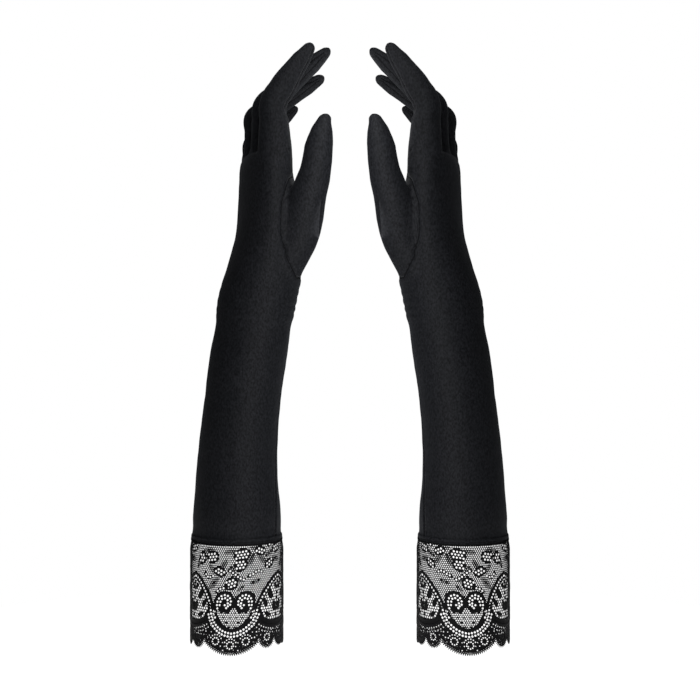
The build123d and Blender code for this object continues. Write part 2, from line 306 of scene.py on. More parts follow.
def waves(points, seed, wavelengths, count=10):
    """Smooth noise from sine waves, within about -1 to 1."""
    random = np.random.default_rng(seed)
    total = np.zeros(len(points))
    for _ in range(count):
        way = random.normal(size=3) * (1.0, 1.0, 0.55)
        way /= np.linalg.norm(way)
        length = random.uniform(*wavelengths)
        total += np.sin(points @ way * (2 * math.pi / length) + random.uniform(0, 6.28))
    return total / math.sqrt(count)


def fold_lines(points, normals):
    """Depth of the soft folds where the hand inside bends."""
    depth = 0.16 * MM * waves(points, 5, (22 * MM, 60 * MM))
    depth += 0.05 * MM * waves(points, 8, (7 * MM, 14 * MM))
    local = points - np.array(WRIST)
    sideways = local @ ACROSS_XYZ
    inner = normals @ PALM_XYZ
    facing = step_up(inner, 0.15, 0.8) + 0.5 * step_up(-inner, 0.3, 0.9)
    for number, (rise, size) in enumerate(WRIST_FOLDS):
        wander = 0.6 * MM * np.sin(sideways / (7 * MM) + number) - 0.10 * sideways
        height = local[:, 2] - rise * MM + wander
        depth -= size * MM * facing * np.exp(-((height / (1.7 * MM)) ** 2))
    for name in FINGERS:
        local = points - np.array(KNUCKLES[name])
        near = np.exp(-((local @ ACROSS_XYZ) / (7.5 * MM)) ** 4)
        close = np.linalg.norm(local, axis=1) < FINGER_REACH
        bisector = np.array((finger_way(name) + Vector((0, 0, 1))).normalized())
        for rise, size in FINGER_FOLDS:
            height = local @ bisector - rise * MM
            here = step_up(inner, 0.0, 0.7) * near * close
            depth -= size * MM * here * np.exp(-((height / (1.1 * MM)) ** 2))
    return depth


def fullness(points, normals):
    """The bent parts of the fingers are a little fuller on their backs, most of all the first."""
    depth = np.zeros(len(points))
    for name in FINGERS:
        local = points - np.array(KNUCKLES[name])
        way = np.array(finger_way(name))
        share = (local @ way) / (TIPS[name] - KNUCKLES[name]).length
        apart = np.linalg.norm(local - np.outer(local @ way, way), axis=1)
        back = step_up(-(normals @ PALM_XYZ), -0.6, 0.6)
        swell = np.exp(-(((share - 0.42) / 0.33) ** 2)) * (apart < 12 * MM) * (share > -0.3)
        depth += swell * (SWELL + (INDEX_BACK if name == "index" else OTHER_BACK) * back) * MM
    return depth


def back_of_roots(points):
    """Share of each vertex in the slope from the back of the hand up to the fingers."""
    depths = np.array([float(KNUCKLES[name].dot(PALM_WAY)) for name in FINGERS])
    behind = depths[finger_of(points)] - points @ PALM_XYZ
    height = points[:, 2] - WEB - 3 * MM
    return step_up(behind, 1.5 * MM, 5 * MM) * np.exp(-((height / (13 * MM)) ** 4))


def sides_of_wrist(points, normals):
    """Share of each vertex at the edges of the wrist, where the cloth spans the narrowest part."""
    height = points[:, 2] - WRIST.z
    facing = step_up(np.abs(normals @ ACROSS_XYZ), 0.3, 0.75)
    return facing * np.exp(-((height / (26 * MM)) ** 4))


def cuff_taper(heights):
    """How far the join of sleeve and lace is drawn in."""
    rise = step_up(heights, CUFF_TOP - 9 * MM, CUFF_TOP)
    return CUFF_DRAW * rise * (1 - step_up(heights, CUFF_TOP + 2 * MM, CUFF_TOP + 16 * MM))


skin_points, skin_quads = build_skin()
skin_edges = edges_of(skin_quads)
web_share = np.exp(-(((skin_points[:, 2] - WEB) / WEB_SIZE) ** 2))
skin_points = smoothed(skin_points, skin_edges, SOFTEN)
thumb_share = np.exp(-(np.linalg.norm((skin_points - np.array(THUMB_ROOT)) / (0.8, 0.8, 1), axis=1)
                       / THUMB_SIZE) ** 4)
skin_points = bridged(skin_points, skin_quads, skin_edges, SPAN_HOLLOWS,
                      np.maximum(thumb_share, web_share))
skin_points = bridged(skin_points, skin_quads, skin_edges, SPAN_ROOTS, back_of_roots(skin_points))
skin_points = bridged(skin_points, skin_quads, skin_edges, SPAN_WRIST,
                      sides_of_wrist(skin_points, vertex_normals(skin_points, skin_quads)))
skin_points = smoothed(skin_points, skin_edges, SOFTEN_WEBS, web_share)
skin_normals = vertex_normals(skin_points, skin_quads)
skin_points = skin_points + skin_normals * (
    fold_lines(skin_points, skin_normals) + fullness(skin_points, skin_normals)
    - cuff_taper(skin_points[:, 2]))[:, None]
skin_normals = vertex_normals(skin_points, skin_quads)

# Which vertices belong to the thumb piece and to each finger.
body_tree = BVHTree.FromBMesh(joined(BODY_NODES + FINGER_NODES))
thumb_tree = BVHTree.FromBMesh(joined(THUMB_NODES))
thumb_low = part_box("left_thumb_piece")[0].z
on_thumb = np.zeros(len(skin_points), bool)
for index in np.nonzero(skin_points[:, 2] > thumb_low)[0]:
    point = Vector(skin_points[index])
    to_thumb = thumb_tree.find_nearest(point, NEAR)[3]
    if to_thumb is not None:
        to_body = body_tree.find_nearest(point, NEAR)[3]
        on_thumb[index] = to_body is None or to_thumb < to_body
nearest_finger = finger_of(skin_points)

face_points = skin_points[skin_quads].mean(1)
face_thumb = on_thumb[skin_quads].sum(1) >= 3
face_finger = nearest_finger[skin_quads[:, 0]]
above_web = (face_points[:, 2] > WEB + 1.2 * MM) & ~face_thumb
base_cap = skin_points[skin_quads][:, :, 2].max(1) < skin_points[:, 2].min() + CLOTH  # left open
regions = {"trank": ~above_web & ~face_thumb & ~base_cap, "thumb": face_thumb}
for number, name in enumerate(FINGERS):
    regions[name] = above_web & (face_finger == number)


# ---------------------------------------------------------------- materials
def material(name, colour, roughness, sheen=0.0, specular=0.3):
    made = bpy.data.materials.new(name)
    made.use_nodes = True
    nodes, links = made.node_tree.nodes, made.node_tree.links
    shader = nodes["Principled BSDF"]
    shader.inputs["Base Color"].default_value = (*colour, 1)
    shader.inputs["Roughness"].default_value = roughness
    shader.inputs["Sheen Weight"].default_value = sheen
    shader.inputs["Sheen Roughness"].default_value = 0.45
    shader.inputs["Sheen Tint"].default_value = (0.75, 0.8, 0.9, 1)
    shader.inputs["Specular IOR Level"].default_value = specular
    shader.inputs["IOR"].default_value = 1.18
    return made, nodes, links, shader


def stretched_noise(nodes, links, scale, stretch, detail=2.0):
    """Noise in object space, drawn out along the height."""
    where = nodes.new("ShaderNodeTexCoord")
    mapping = nodes.new("ShaderNodeMapping")
    mapping.inputs["Scale"].default_value = stretch
    noise = nodes.new("ShaderNodeTexNoise")
    noise.inputs["Scale"].default_value = scale
    noise.inputs["Detail"].default_value = detail
    links.new(where.outputs["Object"], mapping.inputs["Vector"])
    links.new(mapping.outputs["Vector"], noise.inputs["Vector"])
    return noise


def tone(nodes, links, noise, shader, dark, light, low=0.0, high=1.0):
    """Let a noise move the base colour between two tones."""
    ramp = nodes.new("ShaderNodeValToRGB")
    for end, colour, place in zip(ramp.color_ramp.elements, (dark, light), (low, high)):
        end.color = (*colour, 1)
        end.position = place
    links.new(noise.outputs["Fac"], ramp.inputs["Fac"])
    links.new(ramp.outputs["Color"], shader.inputs["Base Color"])


def relief(nodes, links, noise, shader, strength, distance, under=None):
    """Let a noise raise the surface, on top of another relief where there is one."""
    bump = nodes.new("ShaderNodeBump")
    bump.inputs["Strength"].default_value = strength
    bump.inputs["Distance"].default_value = distance
    links.new(noise.outputs["Fac"], bump.inputs["Height"])
    if under is not None:
        links.new(under.outputs["Normal"], bump.inputs["Normal"])
    links.new(bump.outputs["Normal"], shader.inputs["Normal"])
    return bump


def knit_material():
    made, nodes, links, shader = material("knit", (0.007, 0.0075, 0.0090), 0.6, 0.04, 0.5)
    speckle = stretched_noise(nodes, links, 900, (1, 1, 0.6), 1.0)
    tone(nodes, links, speckle, shader, (0.0030, 0.0033, 0.0042), (0.0120, 0.0126, 0.0150), 0.3, 0.72)
    loops = stretched_noise(nodes, links, 1500, (1, 1, 0.55), 1.0)
    fine = relief(nodes, links, loops, shader, 0.35, 0.25 * MM)
    soft = stretched_noise(nodes, links, 160, (1, 1, 0.5), 2.0)
    relief(nodes, links, soft, shader, 0.12, 0.6 * MM, fine)
    return made


def thread_material(name, colour, roughness=0.5, scale=2600, sheen=0.2):
    made, nodes, links, shader = material(name, colour, roughness, sheen, 0.4)
    fibre = stretched_noise(nodes, links, scale, (1, 1, 1), 1.0)
    relief(nodes, links, fibre, shader, 0.3, 0.2 * MM)
    tone(nodes, links, fibre, shader, [0.6 * part for part in colour], [1.4 * part for part in colour])
    return made


KNIT = knit_material()
# The sewing thread is near black, darker than the knit: partly the thread's own black, partly painted
# shade that stands for the shadow down in each seam groove.
SEWING_AND_GROOVE_SHADE = thread_material("sewing_thread", (0.0028, 0.003, 0.0034), 0.75, 2600, 0.0)
LACE = thread_material("lace_thread", (0.0035, 0.0035, 0.004), 0.6, 1800, 0.0)
LACE_SEWING = thread_material("lace_sewing", (0.006, 0.006, 0.007))


# ---------------------------------------------------------------- making a piece on both gloves
def add_piece(part, points, faces, look, stands_for=(), body=None, bend=None,
              normals=None):
    """Make the part for the left glove and its mirror image for the right."""
    for side, sign in SIDES.items():
        placed = points * (sign, 1, 1)
        wound = faces if sign > 0 else [face[::-1] for face in faces]
        mesh = bpy.data.meshes.new(f"{side}_{part}")
        mesh.from_pydata(placed, [], wound)
        mesh.polygons.foreach_set("use_smooth", [True] * len(mesh.polygons))
        if normals is not None:
            mesh.normals_split_custom_set_from_vertices(normals * (sign, 1, 1))
        mesh.materials.append(look)
        piece = bpy.data.objects.new(f"{side}_{part}", mesh)
        bpy.context.scene.collection.objects.link(piece)
        if bend:
            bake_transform(piece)
        else:
            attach(piece, f"{side}_{body}")
        if stands_for:
            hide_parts(*[f"{side}_{node}" for node in stands_for])


WRIST_BEND = ("sleeve_body", "hand_body", WRIST + Vector((0, 0, WRIST_ZONE[0])),
              WRIST + Vector((0, 0, WRIST_ZONE[1])))


def finger_bend(name):
    knuckle = KNUCKLES[name]
    return ("hand_body", f"{name}_body", knuckle - Vector((0, 0, FINGER_ZONE)),
            knuckle + finger_way(name) * FINGER_ZONE)


def thumb_bend():
    way = (THUMB_TIP - THUMB_ROOT).normalized()
    return ("hand_body", "thumb_body", THUMB - way * THUMB_ZONE, THUMB + way * THUMB_ZONE)


BENDS = {"trank": WRIST_BEND, "thumb": thumb_bend(), **{n: finger_bend(n) for n in FINGERS}}


def cloth_piece(region):
    """Outside, inside and cut edge of one region of the skin."""
    quads = skin_quads[regions[region]]
    used, quads = np.unique(quads, return_inverse=True)
    quads = quads.reshape(-1, 4)
    outside, ways = skin_points[used], skin_normals[used]
    count = len(used)
    pairs = sides_of(quads)
    keys = np.sort(pairs, axis=1)
    _, first, number = np.unique(keys, axis=0, return_index=True, return_counts=True)
    rim = pairs[first[number == 1]]
    walls = np.stack([rim[:, 1], rim[:, 0], rim[:, 0] + count, rim[:, 1] + count], axis=1)
    faces = np.concatenate([quads, quads[:, ::-1] + count, walls]).tolist()
    points = np.concatenate([outside, outside - ways * CLOTH])
    return points, faces, np.concatenate([ways, -ways])


STANDS_FOR = {
    "trank": ("sleeve", "wrist_band", "hand", "fourchettes"),
    "thumb": ("thumb_piece", "thumb_knuckle", "thumb_tip"),
    **{name: (f"{name}_knuckle", f"{name}_tip") for name in FINGERS},
}


# ---------------------------------------------------------------- sewn seams
skin_tree = BVHTree.FromPolygons([tuple(point) for point in skin_points], skin_quads.tolist())
SEAMS = {}  # seam -> list of (points on the cloth, thread radius, stitch pitch)


def close_rings(faces, base, rows, sides):
    """Add the faces of a closed tube whose rings of points start at base."""
    last = base + (rows - 1) * sides
    for low in range(base, last, sides):
        high = low + sides
        for k in range(sides):
            faces.append([low + k, low + (k + 1) % sides, high + (k + 1) % sides, high + k])
    faces.append(list(range(base, base + sides))[::-1])
    faces.append(list(range(last, last + sides)))


def tube_run(centres, normals, radius, sides=6, squash=0.7):
    """Tube along points that lie on the cloth."""
    points, faces = [], []
    centres = [Vector(point) for point in centres]
    for number, centre in enumerate(centres):
        way = centres[min(number + 1, len(centres) - 1)] - centres[max(number - 1, 0)]
        up = Vector(normals[number])
        side = way.cross(up).normalized()
        for k in range(sides):
            angle = 2 * math.pi * k / sides
            points.append(centre + side * math.cos(angle) * radius
                          + up * math.sin(angle) * radius * squash)
    close_rings(faces, 0, len(centres), sides)
    return points, faces


def stitches(centres, normals, pitch, half_length, radius, slant, sides=5):
    """Short threads across or along a line on the cloth, each a closed spindle."""
    rows = ((-1, 0.25), (-0.6, 0.9), (0, 1.0), (0.6, 0.9), (1, 0.25))  # place and thickness
    centres = [Vector(point) for point in centres]
    run = [0.0]
    for start, end in zip(centres, centres[1:]):
        run.append(run[-1] + (end - start).length)
    points, faces = [], []
    for place in np.arange(pitch / 2, run[-1], pitch):
        number = min(int(np.searchsorted(run, place)), len(run) - 1)
        share = (place - run[number - 1]) / max(run[number] - run[number - 1], 1e-9)
        centre = centres[number - 1].lerp(centres[number], share)
        up = Vector(normals[number])
        way = (centres[number] - centres[number - 1]).normalized()
        side = way.cross(up).normalized()
        lie = way * math.cos(slant) + side * math.sin(slant)
        cross = lie.cross(up).normalized()
        base = len(points)
        for reach, size in rows:
            middle = centre + lie * half_length * reach + up * radius * 0.8 * (1 - reach * reach)
            for k in range(sides):
                angle = 2 * math.pi * k / sides
                points.append(middle + cross * math.cos(angle) * radius * size
                              + up * math.sin(angle) * radius * size)
        close_rings(faces, base, len(rows), sides)
    return points, faces


def merge(parts):
    points, faces = [], []
    for some_points, some_faces in parts:
        faces += [[index + len(points) for index in face] for face in some_faces]
        points += some_points
    return np.array(points, float), faces


def on_cloth(starts, ways, reach=40 * MM):
    """Where rays from inside the hand meet the cloth."""
    centres = []
    for start, way in zip(starts, ways):
        hit = skin_tree.ray_cast(start, way, reach)
        if hit[0] is not None:
            centres.append(hit[0])
    return centres


def add_seam(name, centres, cord=0.3 * MM, pitch=1.7 * MM):
    SEAMS.setdefault(name, []).append((centres, cord, pitch))


def carve_seams(points, normals):
    """Pull the cloth in along every seam, and let it puff a little on each side."""
    dots = [dot for runs in SEAMS.values() for centres, *_ in runs for dot in centres]
    near = KDTree(len(dots))
    for number, dot in enumerate(dots):
        near.insert(dot, number)
    near.balance()
    far = np.array([near.find(point)[2] for point in points])
    depth = -GROOVE_DEPTH * np.exp(-((far / GROOVE_WIDTH) ** 2))
    depth += PUFF * np.exp(-(((far - PUFF_AT) / PUFF_WIDTH) ** 2))
    return points + normals * depth[:, None]


def sewn_thread(name):
    """The threads of one seam, laid into its groove."""
    parts = []
    for centres, cord, pitch in SEAMS[name]:
        laid, normals = [], []
        for centre in centres:
            hit = skin_tree.find_nearest(centre)
            laid.append(hit[0] + hit[1] * 0.02 * MM)
            normals.append(hit[1])
        parts.append(tube_run(laid, normals, cord))
        parts.append(stitches(laid, normals, pitch, STITCH_HALF, STITCH_RADIUS, STITCH_SLANT))
    return merge(parts)


def finger_axis(name, low, high):
    """Points and directions up the middle of a finger, between two shares of its length."""
    knuckle, tip = KNUCKLES[name], TIPS[name]
    root = Vector((knuckle.x, knuckle.y, WEB + 1.5 * MM))
    run = along([root, knuckle, tip], 1.2 * MM)
    tangents = []
    for number in range(len(run)):
        tangents.append((run[min(number + 3, len(run) - 1)] - run[max(number - 3, 0)]).normalized())
    first, last = int(low * len(run)), int(high * len(run))
    return run[first:last], tangents[first:last]


# Two seams beside each fourchette, and one along the palm side of the first finger.
FOURCHETTE_SIDES = {"index": (1,), "middle": (-1, 1), "ring": (-1, 1), "little": (-1,)}
for name in FINGERS:
    for side in FOURCHETTE_SIDES[name]:
        for edge in (-1, 1):
            middles, tangents = finger_axis(name, 0.0, 0.95)
            ways = []
            for number, tangent in enumerate(tangents):
                front = ACROSS.cross(tangent).normalized()
                spread = math.radians(26) * (1 - 0.75 * max(0, number / len(middles) - 0.7) / 0.3)
                ways.append(ACROSS * side * math.cos(spread) + front * edge * math.sin(spread))
            add_seam(f"{name}_seams", on_cloth(middles, ways), 0.24 * MM, 1.5 * MM)
    if name == "index":
        middles, tangents = finger_axis(name, 0.34, 0.97)
        ways = []
        for number, tangent in enumerate(tangents):
            front = ACROSS.cross(tangent).normalized()
            turn = math.radians(30 + 14 * number / len(middles))
            ways.append(front * math.cos(turn) - ACROSS * math.sin(turn))
        add_seam("index_seams", on_cloth(middles, ways), 0.26 * MM, 1.5 * MM)


# Thumb seam along the edge between the thumb piece and the palm.
edge_count = {}
for face, is_thumb in zip(skin_quads, face_thumb):
    for start, end in zip(face, np.roll(face, -1)):
        key = (min(start, end), max(start, end))
        edge_count.setdefault(key, set()).add(bool(is_thumb))
border = {}
for (start, end), kinds in edge_count.items():
    if len(kinds) == 2:
        border.setdefault(start, []).append(end)
        border.setdefault(end, []).append(start)


def longest_loop(links):
    """The longest chain of linked vertices."""
    best, seen = [], set()
    for first in links:
        if first in seen:
            continue
        chain, current, before = [first], first, None
        seen.add(first)
        while True:
            following = [n for n in links[current] if n != before and n not in seen]
            if not following:
                break
            before, current = current, following[0]
            seen.add(current)
            chain.append(current)
        if len(chain) > len(best):
            best = chain
    return best


loop = longest_loop(border)
loop_points = skin_points[loop]
for _ in range(12):
    inner = (np.roll(loop_points, 1, 0) + np.roll(loop_points, -1, 0)) / 2
    loop_points = 0.4 * loop_points + 0.6 * inner
round_loop = np.concatenate([loop_points[::2], loop_points[:1]])
add_seam("thumb_seam", [skin_tree.find_nearest(Vector(point))[0] for point in round_loop])

# Side seam up the inner arm, on into the wrist as far as the thumb piece.
side_points = points_of("left_side_seam")
middles, ways = [], []
for height in np.arange(CUFF_TOP + 0.6 * MM, thumb_low + 1 * MM, 1.5 * MM):
    ring = skin_points[np.abs(skin_points[:, 2] - height) < 1.0 * MM]
    centre = Vector((*((ring.min(0) + ring.max(0)) / 2)[:2], height))
    near = side_points[np.abs(side_points[:, 2] - height) < 12 * MM]
    if len(near) >= 2:
        turn = (Vector((*near.mean(0)[:2], height)) - centre).normalized()
    middles.append(centre)
    ways.append(turn)
turns = np.array([tuple(way) for way in ways])
for _ in range(30):
    turns[1:-1] = (turns[:-2] + turns[2:]) / 2
ways = [Vector(turn).normalized() for turn in turns]
add_seam("side_seam", on_cloth(middles, ways, 60 * MM), 0.3 * MM, 2.0 * MM)

skin_points = carve_seams(skin_points, skin_normals)
skin_normals = vertex_normals(skin_points, skin_quads)
skin_tree = BVHTree.FromPolygons([tuple(point) for point in skin_points], skin_quads.tolist())
for region in regions:
    points, faces, normals = cloth_piece(region)
    add_piece(f"{region}_skin", points, faces, KNIT, STANDS_FOR[region],
              bend=BENDS[region], normals=normals)
for name in FINGERS:
    points, faces = sewn_thread(f"{name}_seams")
    add_piece(f"{name}_seams", points, faces, SEWING_AND_GROOVE_SHADE, bend=finger_bend(name))
points, faces = sewn_thread("thumb_seam")
add_piece("thumb_seam_thread", points, faces, SEWING_AND_GROOVE_SHADE, ("thumb_seam",),
          body="hand_body")
points, faces = sewn_thread("side_seam")
add_piece("side_seam_thread", points, faces, SEWING_AND_GROOVE_SHADE, ("side_seam",),
          bend=WRIST_BEND)


# Overlocked join between sleeve and lace: two rings of thread and slanted stitches over them.
def round_run(height, lift, turns=240):
    """Points round the cuff, and the way out at each."""
    centres, normals = [], []
    for k in range(turns + 1):
        angle = 2 * math.pi * k / turns
        out = Vector((math.sin(angle), -math.cos(angle), 0))
        reach = CUFF_RADIUS - CUFF_DRAW + lift
        centres.append(Vector((CUFF_AXIS.x, CUFF_AXIS.y, height)) + out * reach)
        normals.append(out)
    return centres, normals


SEAM_LOW, SEAM_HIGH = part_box("left_cuff_seam")
parts = []
for height, radius in ((SEAM_LOW.z + 0.3 * MM, 0.18 * MM), (SEAM_HIGH.z + 0.1 * MM, 0.2 * MM)):
    parts.append(tube_run(*round_run(height, 0.0), radius))
parts.append(stitches(*round_run((SEAM_LOW.z + SEAM_HIGH.z) / 2, 0), 0.95 * MM, 1.15 * MM,
                      0.15 * MM, math.radians(72)))
points, faces = merge(parts)
add_piece("cuff_seam_thread", points, faces, SEWING_AND_GROOVE_SHADE, ("cuff_seam",),
          body="sleeve_body")

# The sleeve's turned edge, a flat band behind the join.
edge_low, edge_high = SEAM_LOW.z + 0.2 * MM, skin_points[:, 2].min() + 2.0 * MM
edge_height, edge_depth = edge_high - edge_low, 0.7 * MM
points, faces = merge([tube_run(*round_run((edge_low + edge_high) / 2, -0.3 * MM),
                                edge_height / 2, 12, edge_depth / edge_height)])
add_piece("sleeve_edge", points, faces, KNIT, body="sleeve_body")

# ---------------------------------------------------------------- lace, drawn flat in mm
REPEATS = 3
CUFF_R = CUFF_RADIUS / MM
REPEAT = 2 * math.pi * CUFF_R / REPEATS
HALF = REPEAT / 2
HEIGHT = CUFF_TOP / MM
AXIS_ANGLE = math.radians(-3.5)  # where the first large scallop faces, from the front
LEAN_FROM = 9.3  # the height that doesn't shift as the figures lean
EYELET, RIM = 0.78, 0.24  # usual eyelet and half the width of the cord round it
OUTLINE = 0.78  # half width of the cords that draw the figures
SLANT = 0.11  # the worn band is pulled askew: its figures lean this much
# X runs along the band and Z up it. The figures are drawn over U, which leans, and mostly over
# AX and OX, the distances from the middle and the edge of a repeat, as each is its own mirror image.
columns = int(round(REPEAT / LACE_STEP))
rows = int(round((HEIGHT + 0.6) / LACE_STEP))
grid_x = np.linspace(-HALF, HALF, columns + 1)
grid_z = np.linspace(-0.6, HEIGHT, rows + 1)
X, Z = np.meshgrid(grid_x, grid_z)
U = (X - SLANT * (Z - LEAN_FROM) + HALF) % REPEAT - HALF
AX = np.abs(U)
OX = HALF - AX


def line(points, u, v):
    """Distance to a polyline in the (u, v) plane."""
    best = np.full(u.shape, 1e3)
    for (a, b), (c, d) in zip(points, points[1:]):
        length = (c - a) ** 2 + (d - b) ** 2
        share = np.clip(((u - a) * (c - a) + (v - b) * (d - b)) / max(length, 1e-9), 0, 1)
        best = np.minimum(best, np.hypot(u - a - share * (c - a), v - b - share * (d - b)))
    return best


def within(points, u, v):
    """Signed distance to a closed outline, positive inside."""
    inside = np.zeros(u.shape, bool)
    for (a, b), (c, d) in zip(points, [*points[1:], points[0]]):
        if b != d:
            inside ^= ((b > v) != (d > v)) & (u < (c - a) * (v - b) / (d - b) + a)
    return np.where(inside, 1, -1) * line([*points, points[0]], u, v)


def curve(points, steps=8):
    """Catmull-Rom curve through points."""
    run = []
    padded = [points[0], *points, points[-1]]
    for p, q, r, s in zip(padded, padded[1:], padded[2:], padded[3:]):
        for k in range(steps):
            t = k / steps
            run.append(tuple(
                0.5 * (2 * q[i] + (r[i] - p[i]) * t + (2 * p[i] - 5 * q[i] + 4 * r[i] - s[i]) * t ** 2
                       + (3 * q[i] - p[i] - 3 * r[i] + s[i]) * t ** 3) for i in (0, 1)))
    return [*run, points[-1]]


def beads(points, pitch, start=0.5):
    """Points spaced evenly along a polyline."""
    run = [0.0]
    for (a, b), (c, d) in zip(points, points[1:]):
        run.append(run[-1] + math.hypot(c - a, d - b))
    places = np.arange(start * pitch, run[-1], pitch)
    xs = np.interp(places, run, [p[0] for p in points])
    zs = np.interp(places, run, [p[1] for p in points])
    return list(zip(xs, zs))


def shifted(points, amount):
    """Polyline moved sideways to its left by an amount."""
    moved = []
    for number, (a, b) in enumerate(points):
        p, q = points[max(number - 1, 0)], points[min(number + 1, len(points) - 1)]
        length = math.hypot(q[0] - p[0], q[1] - p[1]) or 1
        moved.append((a - (q[1] - p[1]) / length * amount, b + (q[0] - p[0]) / length * amount))
    return moved


def net(pitch, half_width, u, v):
    """Threads of a hexagonal net, positive on a thread."""
    tall = pitch * math.sqrt(3)
    best = None
    for du, dv in ((0, 0), (pitch / 2, tall / 2)):
        a = (u - du) - pitch * np.round((u - du) / pitch)
        b = (v - dv) - tall * np.round((v - dv) / tall)
        size = np.hypot(a, b)
        reach = np.maximum(np.abs(a), 0.5 * np.abs(a) + 0.866 * np.abs(b))
        if best is None:
            best, least = reach, size
        else:
            best = np.where(size < least, reach, best)
            least = np.minimum(size, least)
    return half_width - (pitch / 2 - best)


class Lace:
    """Field that is positive on thread, and how far the thread stands off."""

    def __init__(self, ground):
        self.field = ground
        self.lift = np.ones(ground.shape)

    def fill(self, shape, pattern):
        self.field = np.where(shape > 0, pattern, self.field)

    def cord(self, distance, half_width, lift=1.7):
        self.field = np.maximum(self.field, half_width - distance)
        self.lift = np.where(distance < half_width, lift, self.lift)

    def holes(self, centres, radius, u, v, rim=RIM):
        for a, b in centres:
            distance = np.hypot(u - a, v - b)
            self.field = np.minimum(self.field, distance - radius)
            self.cord(np.abs(distance - radius - rim * 0.6), rim, 1.35)

    def wheel(self, ring, u, v, reach, radius, start=0.0, count=9):
        """A ring of cord with a circle of eyelets inside it."""
        angles = [start + 2 * math.pi * (k + 0.5) / count for k in range(count)]
        self.cord(ring, 0.3, 1.6)
        self.holes([(reach * math.cos(a), reach * math.sin(a)) for a in angles], radius, u, v, 0.16)


NET_PITCH = REPEAT / 44
dense = net(NET_PITCH, 0.5, X, Z)
solid = np.full(X.shape, 0.6)
lace = Lace(net(NET_PITCH, 0.345, X, Z))


def turned(centre, degrees, u, v):
    """Coordinates along and across a line through a centre."""
    cosine, sine = math.cos(math.radians(degrees)), math.sin(math.radians(degrees))
    du, dv = u - centre[0], v - centre[1]
    return du * cosine + dv * sine, dv * cosine - du * sine


# Leaves, then clusters and chains of eyelets, scattered over the upper net.
# A leaf is its middle, turn in degrees, half length and half width.
LEAVES = [((8.2, 67.0), 62, 5.2, 2.6), ((-16.8, 50.4), 52, 5.4, 2.5), ((-2.4, 60.9), -20, 4.2, 1.7),
          ((-0.4, 53.6), -25, 4.6, 1.5), ((13.7, 51.6), 18, 4.4, 1.7), ((17.6, 66.4), -32, 4.6, 2.0),
          ((-24.5, 72.6), 15, 5.2, 2.1), ((-10.4, 63.4), 62, 4.4, 2.0), ((23.6, 70.6), 30, 4.2, 1.8),
          ((-6.8, 72.4), 8, 4.6, 1.7), ((-19.0, 60.4), -48, 4.2, 1.8), ((30.5, 66.0), -12, 4.4, 1.9),
          ((11.4, 74.6), -10, 4.4, 1.5), ((-31.6, 63.6), 70, 4.4, 1.9), ((3.6, 47.4), 40, 3.2, 1.3)]
for centre, degrees, length, width in LEAVES:
    u, v = turned(centre, degrees, U, Z)
    shape = 1 - np.abs(u / length) ** 1.8 - np.abs(v / width) ** 1.6
    lace.fill(shape, dense)
    lace.cord(np.abs(v) + np.where(np.abs(u) < 0.9 * length, 0, 9), 0.2, 1.2)
# A cluster is its middle, eyelets across, eyelets up and turn in degrees.
CLUSTERS = [((1.8, 70.4), 4, 3, 8), ((1.6, 63.4), 3, 3, 8), ((-3.7, 50.4), 3, 3, 20),
            ((-12.7, 58.6), 3, 2, -25), ((-19.5, 68.6), 3, 3, 10), ((15.4, 72.6), 3, 2, -20),
            ((24.0, 63.4), 3, 2, 35), ((-28.4, 67.4), 2, 3, 0), ((30.6, 73.6), 3, 2, 12)]
for centre, across, high, degrees in CLUSTERS:
    u, v = turned(centre, degrees, U, Z)
    lace.fill(1 - (u / (across * 1.15 + 1.4)) ** 2 - (v / (high * 1.1 + 1.2)) ** 2, solid)
    spots = [((i - (across - 1) / 2 + (0.25 if j % 2 else -0.25)) * 2.35,
              (j - (high - 1) / 2) * 2.05) for i in range(across) for j in range(high)]
    lace.holes(spots, EYELET, u, v, 0.2)
CHAINS = [curve([(-6.3, 59.8), (-2.6, 57.6), (1.4, 54.6), (4.8, 53.2)]),
          curve([(8.0, 55.6), (11.4, 56.8), (14.6, 58.9), (18.2, 57.8)]),
          curve([(-13.8, 44.4), (-10.8, 46.8), (-6.6, 47.4)]),
          curve([(-24.6, 57.0), (-21.4, 54.2), (-17.6, 55.4)]),
          curve([(22.6, 75.6), (25.6, 77.2)])]
for chain in CHAINS:
    lace.cord(np.maximum(line(chain, U, Z) - 0.9, 0), 0.3, 1.1)
    lace.holes(beads(chain, 2.35), 0.76, U, Z)

# Pointed arches between the repeats, measured from the axis OX = 0.
ARCH = curve([(0.0, 56.2), (3.6, 54.9), (7.6, 52.2), (11.6, 48.0), (15.2, 43.2), (18.3, 37.6),
              (19.4, 32.0), (17.8, 26.6), (13.6, 22.6), (7.0, 20.0), (0.0, 19.0)])
SIDE_OF_ARCH = len(ARCH) * 6 // 10  # the part above the curls' height
arch_shape = within([*ARCH, *[(-a, b) for a, b in ARCH[::-1]]], OX, Z)
lace.fill(arch_shape, solid)
lace.fill(arch_shape - 3.6, net(2.2, 0.40, OX, Z))
lace.holes(beads(shifted(ARCH[:SIDE_OF_ARCH], -2.15), 2.5), EYELET, OX, Z)
lace.cord(np.abs(arch_shape - 3.7), 0.42)
lace.cord(np.abs(arch_shape), 0.8, 2.0)
# Teardrops inside an arch, given like the leaves.
TEARS = [((7.6, 42.0), 64, 4.6, 2.3), ((11.9, 36.4), 60, 4.2, 1.9), ((3.0, 33.0), 80, 4.4, 1.9),
         ((9.2, 28.0), 26, 3.6, 1.5), ((2.6, 47.6), 75, 2.6, 1.2)]
for centre, degrees, length, width in TEARS:
    u, v = turned(centre, degrees, OX, Z)
    shape = width * (1 - (u / length) ** 2) * (1 - 0.35 * u / length) - np.abs(v)
    lace.cord(np.where(np.abs(u) < length, 1 - np.clip(shape, -1, 1), 3), 1.0, 1.6)
lace.cord(np.where((Z < 51) & (Z > 23), OX, 9), 0.45, 1.5)

